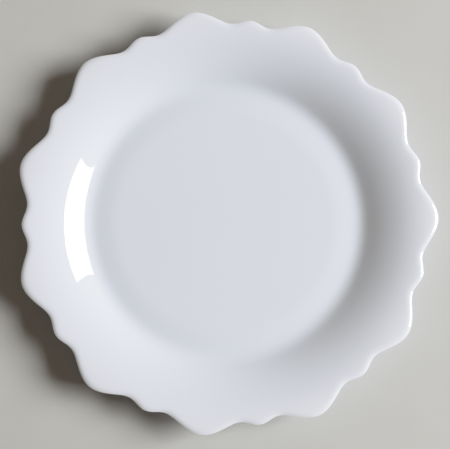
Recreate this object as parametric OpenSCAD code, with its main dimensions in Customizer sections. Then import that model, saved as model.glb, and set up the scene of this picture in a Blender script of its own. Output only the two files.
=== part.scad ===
// Bread and butter plate with a scalloped rim.
// A fired clay body stands on a foot ring. A glaze coat wraps its face, lip and underside
// down to the foot, and a second patch of glaze fills the recess inside the foot.
// Millimetres, +Z up. The origin is on the axis, at the foot's resting face, and +X points
// to the tip of a large lobe.

/* [Rim] */
// Mean radius of the scalloped edge
rim_r = 80; // [78:0.5:90]
// Number of large lobes round the edge, each pair with a small lobe between them
lobes = 11; // [5:1:14]
// Height of the wave that makes the large lobes
large_wave = 2.13; // [0:0.01:3]
// Height of the wave that sets a small lobe between each pair of large ones
small_wave = 1.31; // [0:0.01:2]
// Height of the wave that fills out the large lobes, when negative
fill_wave = -0.38; // [-0.6:0.01:0.6]
// Height of the wave that sharpens every lobe a little
crisp_wave = 0.12; // [-0.3:0.01:0.3]
// Thickness of the lip
lip_t = 2.4; // [2:0.1:5]
// Width over which the lip rounds off, in from the edge
lip_roll = 4; // [2:0.1:5]
// Fall of the lip's upper side over that width, down to its outermost line
lip_drop = 0.6; // [0.55:0.05:1]

/* [Face] */
// Radius of the flat part of the floor
floor_r = 41.5; // [30:0.5:44]
// Radius where the floor has tipped outward, into the shallow dip round it
dip_r = 46.7; // [45:0.1:48.5]
// Slope of the floor in the dip, in degrees
dip_slope = 4.2; // [0:0.1:6]
// Radius where the floor begins to turn up
turn_r = 50; // [49:0.1:50.5]
// Radius of the bottom of the dip
heel_r = 51.7; // [51:0.1:52.5]
// Radius where the wall of the well has reached its slope
wall_r = 56.7; // [55:0.1:58]
// Slope of the wall, in degrees
wall_slope = 26.6; // [20:0.1:36]
// Radius where the wall begins to ease into the rim
ease_r = 59.3; // [58.5:0.1:62]
// Radius where the rim is level
level_r = 81.5; // [78:0.5:95]

/* [Base] */
// Thickness through the floor
floor_t = 3.7; // [3:0.1:6]
// Thickness of the wall where it leaves the floor
wall_t = 3.2; // [2.8:0.1:4]
// Radius of the flat underside
base_r = 51; // [50.5:0.1:51.5]
// Height of the foot ring
foot_h = 3; // [1.8:0.1:5]
// Radius of the middle of the foot ring
foot_r = 47; // [40:0.5:47.5]
// Width of the foot ring
foot_w = 3.6; // [3:0.1:4]
// Bevel on the foot ring's lower corners
foot_bevel = 0.6; // [0.2:0.1:0.8]

/* [Glaze] */
// Thickness of the glaze
glaze_t = 0.3; // [0.2:0.05:0.5]
// Height on the foot up to which the glaze was wiped off
wipe_h = 0.9; // [0.8:0.1:1.5]

/* [Hidden] */

clay_colour = "#ece6d8";
glaze_colour = "#e6e9f0";

floor_z = foot_h + floor_t;
foot_in = foot_r - foot_w / 2;
foot_out = foot_r + foot_w / 2;
// Depth to which the foot ring is buried in the base
foot_root = 1;

edge_waves = [large_wave, small_wave, fill_wave, crisp_wave];
points_per_lobe = 12;
steps = lobes * points_per_lobe;
angles = [for (i = [0 : steps - 1]) 360 * i / steps];
// A polygon this much larger than a circle has its flats on the circle
round_hug = 1 / cos(180 / steps);

// Slope of the face, as rise over run, where it is set: it changes evenly in between
face_slopes = [
    [floor_r, 0],
    [dip_r, -tan(dip_slope)],
    [turn_r, -tan(dip_slope)],
    [heel_r, 0],
    [wall_r, tan(wall_slope)],
    [ease_r, tan(wall_slope)],
    [level_r, 0],
];
// Radius inside which the rows of points are circles: outside it they follow the lobes
round_r = 68;
heel_mid_r = (heel_r + wall_r) / 2;
ease_mid_r = (ease_r + round_r) / 2;
face_radii = [floor_r, dip_r, turn_r, heel_r, heel_mid_r, wall_r, ease_r, ease_mid_r, round_r];
under_radii = [round_r, ease_mid_r, wall_r, heel_mid_r];
// The lip's upper side falls with this power of the way out, so it turns down briskly at the end
crown_power = 4;
// Shares of the way out at which the upper side has a row of points
crown_shares = [0, 0.6, 0.85, 1];
// Angles round the quarter ellipse of the lip's lower side at which it has one
under_turns = [45, 90];

// Radius of the scalloped edge in the direction a
function edge(a) = rim_r + edge_waves * [for (k = [1 : len(edge_waves)]) cos(k * lobes * a)];

// Rise of the face over the stretch after slope i, as far as radius r
function stretch(i, r) =
    let (start = face_slopes[i][0])
    let (end = max(start, min(r, face_slopes[i + 1][0])))
    (end - start) * (face_slopes[i][1] + lookup(end, face_slopes)) / 2;

// Height of the face at radius r, outside the glaze
function face(r, i = 0) =
    i < len(face_slopes) - 1 ? stretch(i, r) + face(r, i + 1) : floor_z;

// Height of the underside at radius r, outside the glaze
function underside(r) =
    let (slope = lookup(r, face_slopes))
    let (thick = lookup(r, [[heel_r, wall_t], [rim_r, lip_t]]))
    max(foot_h, face(r) - thick * sqrt(1 + slope * slope));

// Rows of points right round the plate: a circle, the middle of the rim, and one on the upper or
// the lower side of the lip. Depth is how far under the outside of the glaze a row lies.
function polar(r, a, z) = [r * cos(a), r * sin(a), z];
function circle_row(r, z) = [for (a = angles) polar(r, a, z)];
function rim_row(depth) = [
    for (a = angles)
        let (r = (round_r + edge(a) - lip_roll) / 2)
        polar(r, a, face(r) - depth)
];
function crown_row(share, depth) = [
    for (a = angles)
        let (r = edge(a) - lip_roll + (lip_roll - depth) * share)
        polar(r, a, face(r) - depth - (lip_drop - depth) * pow(share, crown_power))
];
function under_row(turn, depth) = [
    for (a = angles)
        let (r = edge(a) - lip_roll + (lip_roll - depth) * cos(turn))
        polar(r, a, face(r) - lip_drop - (lip_t - lip_drop - depth) * sin(turn))
];

// All the rows at one depth, from the floor over the lip to the flat base
function surface_rows(depth) = [
    for (r = face_radii) circle_row(r, face(r) - depth),
    rim_row(depth),
    for (share = crown_shares) crown_row(share, depth),
    for (turn = under_turns) under_row(turn, depth),
    for (r = under_radii) circle_row(r, underside(r) + depth),
    circle_row(base_r, foot_h + depth),
];

// The glaze's rows down the outer side of the foot
function foot_rows(depth) = [
    circle_row((foot_out + glaze_t - depth) * round_hug, foot_h + depth),
    circle_row((foot_out + glaze_t - depth) * round_hug, wipe_h),
];

function reversed(list) = [for (i = [len(list) - 1 : -1 : 0]) list[i]];

// A closed skin over rows of points, with a flat cap on its first and last row.
// Turned is for rows that run up the outside instead of down it.
module skin(rows, turned = false) {
    last = (len(rows) - 1) * steps;
    sides = [
        for (start = [0 : steps : last - 1], i = [0 : steps - 1])
            let (here = start + i)
            let (next = start + (i + 1) % steps)
            each [
                [here, next, next + steps],
                [here, next + steps, here + steps],
            ]
    ];
    first_cap = [for (i = [0 : steps - 1]) steps - 1 - i];
    last_cap = [for (i = [0 : steps - 1]) last + i];
    faces = concat(sides, [first_cap, last_cap]);
    polyhedron(
        points = [for (row = rows) each row],
        faces = turned ? [for (f = faces) reversed(f)] : faces,
        convexity = 6
    );
}

module foot_ring() {
    rotate_extrude()
        polygon([
            [foot_in, foot_h + glaze_t + foot_root],
            [foot_in, foot_bevel],
            [foot_in + foot_bevel, 0],
            [foot_out - foot_bevel, 0],
            [foot_out, foot_bevel],
            [foot_out, foot_h + glaze_t + foot_root],
        ]);
}

// The fired clay. Its rows run up from the base, as they do inside the glaze coat, so that
// the facets of the two match.
module clay_body() {
    color(clay_colour)
        union() {
            skin(reversed(surface_rows(glaze_t)), turned = true);
            foot_ring();
        }
}

// The glaze from the face over the lip and the underside to the foot's outer side
module glaze_coat() {
    color(glaze_colour)
        skin(concat(
            surface_rows(0),
            foot_rows(0),
            reversed(foot_rows(glaze_t)),
            reversed(surface_rows(glaze_t))
        ));
}

// The glaze over the base and the inner side of the foot
module base_glaze() {
    color(glaze_colour)
        rotate_extrude()
            polygon([
                [0, foot_h],
                [foot_in - glaze_t, foot_h],
                [foot_in - glaze_t, wipe_h],
                [foot_in, wipe_h],
                [foot_in, foot_h + glaze_t],
                [0, foot_h + glaze_t],
            ]);
}

clay_body();
glaze_coat();
base_glaze();
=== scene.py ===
"""A white glazed bread and butter plate with a scalloped rim, on a pale table.

The part's frame: metres, +Z up, the origin on the plate's axis at the foot's resting
face, and +X towards the tip of a large lobe.
"""
import math

import bpy
import numpy as np
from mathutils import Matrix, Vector


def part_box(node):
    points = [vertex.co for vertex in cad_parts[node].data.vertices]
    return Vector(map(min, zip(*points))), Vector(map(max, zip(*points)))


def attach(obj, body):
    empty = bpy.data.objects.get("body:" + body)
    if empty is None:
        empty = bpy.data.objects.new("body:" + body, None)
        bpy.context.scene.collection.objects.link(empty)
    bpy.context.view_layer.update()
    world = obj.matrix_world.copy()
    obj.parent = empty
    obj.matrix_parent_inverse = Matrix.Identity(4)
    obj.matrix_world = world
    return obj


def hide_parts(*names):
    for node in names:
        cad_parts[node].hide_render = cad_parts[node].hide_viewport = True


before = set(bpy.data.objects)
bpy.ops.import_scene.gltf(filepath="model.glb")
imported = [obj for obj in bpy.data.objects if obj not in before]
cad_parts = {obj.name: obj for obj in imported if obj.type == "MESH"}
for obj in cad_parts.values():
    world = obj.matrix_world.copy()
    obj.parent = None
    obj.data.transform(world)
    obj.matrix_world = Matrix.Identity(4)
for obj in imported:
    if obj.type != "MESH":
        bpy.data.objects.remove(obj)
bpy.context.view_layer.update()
MM = 0.001

# Clay body. The plate is pressed in one piece from white clay, with its floor, wall,
# scalloped rim and foot ring, and fired. Glaze covers it all but the foot's resting face,
# which was wiped clean so that the plate wouldn't stick to the kiln shelf.
glaze_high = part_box("glaze_coat")[1]
clay_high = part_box("clay_body")[1]
base_low, base_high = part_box("base_glaze")

lobes = 11
# Heights of the waves that make the edge, with one to four of them to a large lobe
edge_waves = np.array([2.13, 1.31, -0.38, 0.12]) * MM
rim_r = glaze_high.x - edge_waves.sum()
lip_t = 2.4 * MM
lip_roll = 4 * MM
lip_drop = 0.6 * MM
# The lip's upper side falls with this power of the way out, so it turns down briskly at the end
lip_power = 4
# Radius inside which the rows of points are circles: outside it they follow the lobes
round_r = 68 * MM
floor_t = 3.7 * MM
wall_t = 3.2 * MM
base_r = 51 * MM
glaze_t = glaze_high.x - clay_high.x
foot_w = 3.6 * MM
foot_in = base_high.x
foot_out = foot_in + foot_w
foot_h = base_high.z - glaze_t
foot_round = 0.6 * MM
wipe_h = base_low.z
floor_z = foot_h + floor_t

# Slope of the face in degrees at the radii where it turns, in millimetres
face_turns = {41.5: 0, 46.7: -4.2, 50: -4.2, 51.7: 0, 56.7: 26.6, 59.3: 26.6, 81.5: 0}
# The floor is flat as far as the first of them
floor_r = min(face_turns) * MM
# Width over which one slope eases into the next
slope_ease = 1.6 * MM

# The face's slope and height at fine steps of radius, to past the edge
fine_step = 0.05 * MM
fine_r = np.arange(0, 90 * MM, fine_step)
set_slope = np.interp(
    fine_r,
    np.array(list(face_turns)) * MM,
    np.tan(np.radians(list(face_turns.values()))),
)
window = np.hanning(round(slope_ease / fine_step) + 2)
half_window = len(window) // 2
padded_slope = np.pad(set_slope, half_window, mode="edge")
eased_slope = np.convolve(padded_slope, window / window.sum(), mode="same")
fine_slope = eased_slope[half_window:][:len(fine_r)]
fine_face = floor_z + np.cumsum(fine_slope) * fine_step

points_per_lobe = 32
points_round = lobes * points_per_lobe
turn_round = np.linspace(0, 2 * math.pi, points_round, endpoint=False)
waves_round = np.cos(np.outer(np.arange(1, len(edge_waves) + 1) * lobes, turn_round))
edge_r = rim_r + edge_waves @ waves_round


def face(r):
    """Height of the glazed face at radius r."""
    return np.interp(r, fine_r, fine_face)


def underside(r):
    """Height of the glazed underside at radius r."""
    slope = np.interp(r, fine_r, fine_slope)
    thick = np.interp(r, [base_r, rim_r], [wall_t, lip_t])
    return np.maximum(foot_h, face(r) - thick * np.hypot(1, slope))


def row(r, z):
    """Points right round the plate at radius r and height z, each one value or one per point."""
    r, z = np.broadcast_to(r, points_round), np.broadcast_to(z, points_round)
    return np.stack([r * np.cos(turn_round), r * np.sin(turn_round), z], axis=1)


# Numbers of rows along a rounded corner, over the flat floor, and on the lip's two sides
corner_rows = 6
floor_rows = 8
crown_rows = 17
under_rows = 9


def arc_rows(centre_r, centre_z, radius, start, end):
    """Rows round the plate along a rounded corner, from the angle start to end in degrees."""
    turns = np.radians(np.linspace(start, end, corner_rows))
    return [row(centre_r + radius * math.cos(t), centre_z + radius * math.sin(t)) for t in turns]


def surface_rows(depth, spacing):
    """Rows from the middle of the floor over the lip to the flat base, that far under the glaze."""
    def count(width):
        return max(2, round(width / spacing))

    rows = []
    for r in np.linspace(0, floor_r, floor_rows)[1:-1]:
        rows.append(row(r, face(r) - depth))
    for r in np.linspace(floor_r, round_r, count(round_r - floor_r)):
        rows.append(row(r, face(r) - depth))
    rim_in = edge_r - lip_roll
    rim_shares = np.linspace(0, 1, count(rim_r - round_r))
    for share in rim_shares[1:-1]:
        r = round_r + share * (rim_in - round_r)
        rows.append(row(r, face(r) - depth))
    for share in np.sin(np.radians(np.linspace(0, 90, crown_rows))):
        r = rim_in + (lip_roll - depth) * share
        rows.append(row(r, face(r) - depth - (lip_drop - depth) * share ** lip_power))
    for t in np.radians(np.linspace(0, 90, under_rows))[1:]:
        r = rim_in + (lip_roll - depth) * math.cos(t)
        under_t = face(r) - lip_drop - underside(r)
        rows.append(row(r, face(r) - lip_drop - (under_t - depth) * math.sin(t)))
    for share in rim_shares[-2:0:-1]:
        r = round_r + share * (rim_in - round_r)
        rows.append(row(r, underside(r) + depth))
    for r in np.linspace(round_r, base_r, count(round_r - base_r)):
        rows.append(row(r, underside(r) + depth))
    return rows


def skin(name, rows):
    """A closed mesh over rows of points, drawn together to a point at each end."""
    ends = [rows[0].mean(axis=0), rows[-1].mean(axis=0)]
    verts = np.concatenate([*rows, ends])
    first = len(verts) - 2
    faces = []
    for start in range(0, first - points_round, points_round):
        for i in range(points_round):
            here, there = start + i, start + (i + 1) % points_round
            faces.append((here, here + points_round, there + points_round, there))
    for i in range(points_round):
        j = (i + 1) % points_round
        faces.append((first, i, j))
        faces.append((first + 1, first - points_round + j, first - points_round + i))
    mesh = bpy.data.meshes.new(name)
    mesh.from_pydata(verts.tolist(), [], faces)
    mesh.polygons.foreach_set("use_smooth", [True] * len(mesh.polygons))
    piece = bpy.data.objects.new(name, mesh)
    bpy.context.scene.collection.objects.link(piece)
    return piece


class Socket:
    """A socket among a material's nodes, on which Python's operators add Math nodes."""

    def __init__(self, tree, socket=None):
        self.tree = tree
        self.socket = socket

    def node(self, kind, settings, sockets, output=0):
        """One output of a new node, with its settings made first and its sockets set or linked."""
        made = self.tree.nodes.new("ShaderNode" + kind)
        for name, value in settings.items():
            setattr(made, name, value)
        for name, value in sockets.items():
            if isinstance(value, Socket):
                self.tree.links.new(value.socket, made.inputs[name])
            else:
                made.inputs[name].default_value = value
        return Socket(self.tree, made.outputs[output])

    def maths(self, operation, first, second):
        """A sum, difference or product of two values, of which one may be a number."""
        return self.node("Math", {"operation": operation}, {0: first, 1: second})

    def __add__(self, other):
        return self.maths("ADD", self, other)

    def __mul__(self, other):
        return self.maths("MULTIPLY", self, other)

    def __rsub__(self, other):
        return self.maths("SUBTRACT", other, self)

    __radd__ = __add__

    def noise(self, scale, detail):
        """Noise from 0 to 1 at this place, with that many lumps to the metre."""
        return self.node("TexNoise", {}, {"Vector": self, "Scale": scale, "Detail": detail})

    def ease(self, start, end):
        """0 where this value is at start, 1 where it is at end, and smooth in between."""
        limits = {"Value": self, "From Min": start, "From Max": end}
        return self.node("MapRange", {"interpolation_type": "SMOOTHSTEP"}, limits)

    def tint(self, colour_a, colour_b):
        """From colour a where this value is 0 to colour b where it is 1."""
        ends = {"Factor": self, 6: colour_a, 7: colour_b}
        return self.node("Mix", {"data_type": "RGBA"}, ends, output=2)


def new_material(name):
    """A material, its Principled shader, and the place on the object as a socket."""
    material = bpy.data.materials.new(name)
    material.use_nodes = True
    tree = material.node_tree
    shader = tree.nodes["Principled BSDF"]
    place = Socket(tree).node("TexCoord", {}, {}, output="Object")
    return material, shader, place


def colour(red, green, blue):
    """A colour that lets nothing through."""
    return (red, green, blue, 1)


clay, clay_shader, place = new_material("bare_clay")
grain = place.noise(2600, 4)
rubbed = place.noise(140, 3).ease(0.52, 0.68)
fired = grain.tint(colour(0.62, 0.57, 0.48), colour(0.74, 0.7, 0.62))
worn = (rubbed * 0.45).tint(fired, colour(0.42, 0.39, 0.35))
place.tree.links.new(worn.socket, clay_shader.inputs["Base Color"])
place.tree.links.new((0.78 - rubbed * 0.2).socket, clay_shader.inputs["Roughness"])
pits = place.node("Bump", {}, {"Strength": 0.35, "Distance": 0.05 * MM, "Height": grain})
place.tree.links.new(pits.socket, clay_shader.inputs["Normal"])

base_z = foot_h + glaze_t
# Space between rows of points on a side that another piece hides
hidden_spacing = 2 * MM
clay_rows = [
    *surface_rows(glaze_t, hidden_spacing),
    row(foot_out, base_z),
    *arc_rows(foot_out - foot_round, foot_round, foot_round, 0, -90),
    *arc_rows(foot_in + foot_round, foot_round, foot_round, -90, -180),
    row(foot_in, base_z),
]
clay_body = skin("clay_body_piece", clay_rows)
clay_body.data.materials.append(clay)
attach(clay_body, "root")
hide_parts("clay_body")

# Glaze coat. A white, faintly blue glass skin, dipped on and fired, from the face over the
# lip and the underside to a thin bead on the outer side of the foot. Its colour is a little
# darker and bluer in a band at the bottom of the wall. Towards the rim, and more on the lip
# where it turns down, it is painted lighter: painted light for light shining through the thin rim.
glaze, glaze_shader, place = new_material("white_glaze")
across = place.node("VectorMath", {"operation": "MULTIPLY"}, {0: place, 1: (1, 1, 0)})
radius = place.node("VectorMath", {"operation": "LENGTH"}, {0: across}, output="Value")
# A band at the bottom of the wall, where the glaze's colour is a little darker and bluer
heel_band = radius.ease(44 * MM, 50 * MM) * (1 - radius.ease(52 * MM, 60 * MM))
cloud = place.noise(26, 3)
body_tint = cloud.tint(colour(0.763, 0.82, 0.942), colour(0.782, 0.838, 0.954))
well_tint = (heel_band * 0.5).tint(body_tint, colour(0.749, 0.812, 0.944))
# Painted light: lighter towards the rim, for light that shines through the thin rim
painted_rim_light = radius.ease(round_r, 84 * MM)
tint_with_rim_light = painted_rim_light.tint(well_tint, colour(0.825, 0.874, 0.985))
# Painted light: whiter on the lip where it turns down, for light shining through its thin edge
facing = place.node("NewGeometry", {}, {}, output="Normal")
facing_up = place.node("SeparateXYZ", {}, {"Vector": facing}, output="Z")
painted_lip_light = radius.ease(72 * MM, 75 * MM) * (1 - facing_up.ease(0.6, 1))
tint_with_painted_light = painted_lip_light.tint(tint_with_rim_light, colour(0.98, 0.985, 1))
place.tree.links.new(tint_with_painted_light.socket, glaze_shader.inputs["Base Color"])
smears = place.noise(60, 4)
place.tree.links.new((0.015 + smears * 0.025).socket, glaze_shader.inputs["Roughness"])
glaze_shader.inputs["IOR"].default_value = 1.52
ripple = place.noise(110, 2) * 0.8 + place.noise(520, 2) * 0.2
skin_bump = place.node("Bump", {}, {"Strength": 0.25, "Distance": 0.02 * MM, "Height": ripple})
place.tree.links.new(skin_bump.socket, glaze_shader.inputs["Normal"])

# Space between rows of points on the outside
shown_spacing = 0.6 * MM
root_round = 0.8 * MM
bead = 0.15 * MM
side_r = foot_out + glaze_t
glaze_rows = [
    *surface_rows(0, shown_spacing),
    *arc_rows(side_r + root_round, foot_h - root_round, root_round, 90, 180),
    *arc_rows(side_r - bead, wipe_h + bead, bead, 0, -90),
    row(foot_out, wipe_h),
    row(foot_out, base_z),
    *reversed(surface_rows(glaze_t, hidden_spacing)),
]
glaze_coat = skin("glaze_coat_piece", glaze_rows)
glaze_coat.data.materials.append(glaze)
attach(glaze_coat, "root")
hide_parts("glaze_coat")

# Base glaze. The same glass inside the foot ring, cut off from the rest by the wiped
# resting face, with its own bead on the inner side of the foot.
inside_r = foot_in - glaze_t
flat_rows = 6
base_rows = [
    *[row(r, base_z) for r in np.linspace(inside_r, 0, flat_rows)[-2:0:-1]],
    row(foot_in, base_z),
    row(foot_in, wipe_h),
    *arc_rows(inside_r + bead, wipe_h + bead, bead, -90, -180),
    *arc_rows(inside_r - root_round, foot_h - root_round, root_round, 0, 90),
    *[row(r, foot_h) for r in np.linspace(inside_r - root_round, 0, flat_rows)[1:-1]],
]
base_glaze = skin("base_glaze_piece", base_rows)
base_glaze.data.materials.append(glaze)
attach(base_glaze, "root")
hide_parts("base_glaze")

# Table. A pale grey tabletop with a dull, faintly mottled coat of paint. The plate stands
# on it by its foot alone.
table_half = 1.5
table_mesh = bpy.data.meshes.new("table")
corners = [(x * table_half, y * table_half, 0) for x, y in [(-1, -1), (1, -1), (1, 1), (-1, 1)]]
table_mesh.from_pydata(corners, [], [(0, 1, 2, 3)])
table = bpy.data.objects.new("table", table_mesh)
bpy.context.scene.collection.objects.link(table)
table_paint, table_shader, place = new_material("table_paint")
mottle = place.noise(40, 5).tint(colour(0.553, 0.566, 0.582), colour(0.593, 0.606, 0.622))
place.tree.links.new(mottle.socket, table_shader.inputs["Base Color"])
table_shader.inputs["Roughness"].default_value = 0.6
table_shader.inputs["Specular IOR Level"].default_value = 0.2
table_mesh.materials.append(table_paint)

# Light. One rectangular soft light stands past the right edge of the table, tipped a little
# down. The dim, warm room fills the shadows, a little more from the right and the back.
softbox_light = bpy.data.lights.new("softbox", "AREA")
softbox_light.shape = "RECTANGLE"
softbox_light.energy = 60.5
softbox_light.size = 1.085
# Heights of its lower and upper edge if it stood upright
softbox_low = 0.75
softbox_high = 1.79
softbox_light.size_y = softbox_high - softbox_low
# Its distance from the plate's axis, its bearing from +X, and how far it is tipped
softbox_far = 1.62
softbox_round = math.radians(2.2)
softbox_tilt = math.radians(16.6)
softbox = bpy.data.objects.new("softbox", softbox_light)
to_softbox = Vector((math.cos(softbox_round), math.sin(softbox_round), 0))
softbox.location = to_softbox * softbox_far
softbox.location.z = (softbox_low + softbox_high) / 2
softbox_back = to_softbox * math.cos(softbox_tilt)
softbox_back.z = math.sin(softbox_tilt)
softbox.rotation_euler = softbox_back.to_track_quat("Z", "Y").to_euler()
bpy.context.scene.collection.objects.link(softbox)

# How much brighter the room is than its mean, to the right and to the back of the plate
room_lean = (0.24, 0.3, 0)
room = bpy.data.worlds.new("room")
room.use_nodes = True
room_light = room.node_tree.nodes["Background"]
room_light.inputs["Color"].default_value = colour(0.138, 0.107, 0.075)
room_side = Socket(room.node_tree).node("TexCoord", {}, {}, output="Generated")
lean = room_side.node("VectorMath", {"operation": "DOT_PRODUCT"},
                      {0: room_side, 1: room_lean}, output="Value")
room.node_tree.links.new((1 + lean).socket, room_light.inputs["Strength"])
bpy.context.scene.world = room

# Response of the camera. It holds back the brightest tones, so that a lit wall stays short
# of white and only the reflection of the light reaches it, and blue in the middle tones.
tones = {0.4: 0.4, 0.68: 0.68, 0.9: 0.813}
brightest_tone = (1.6, 1.1)
blue_tones = {0.06: 0.06, 0.31: 0.297, 0.56: 0.542, 0.74: 0.742, 0.85: 0.865}
picture = bpy.context.scene.view_settings
picture.view_transform = "Standard"
picture.use_curve_mapping = True
response = picture.curve_mapping
response.use_clip = False
blue_curve = response.curves[2]
joint_curve = response.curves[3]
joint_curve.points[1].location = brightest_tone
for curve, curve_tones in [(joint_curve, tones), (blue_curve, blue_tones)]:
    for scene_tone, picture_tone in curve_tones.items():
        curve.points.new(scene_tone, picture_tone)
response.update()

# Camera. It looks almost straight down with a long lens, from the left of the plate's middle
# and a little in front of it. The lens is shifted, as the picture is part of a wider one.
camera_data = bpy.data.cameras.new("camera")
camera_data.sensor_width = 36
camera_data.lens = 91
camera_data.shift_x = 0.1386
camera_data.shift_y = -0.022
camera = bpy.data.objects.new("camera", camera_data)
camera.location = Vector((-37, -21, 455.67)) * MM
camera.rotation_euler = [math.radians(turn) for turn in (3.14, -1.515, -1.06)]
bpy.context.scene.collection.objects.link(camera)
bpy.context.scene.camera = camera
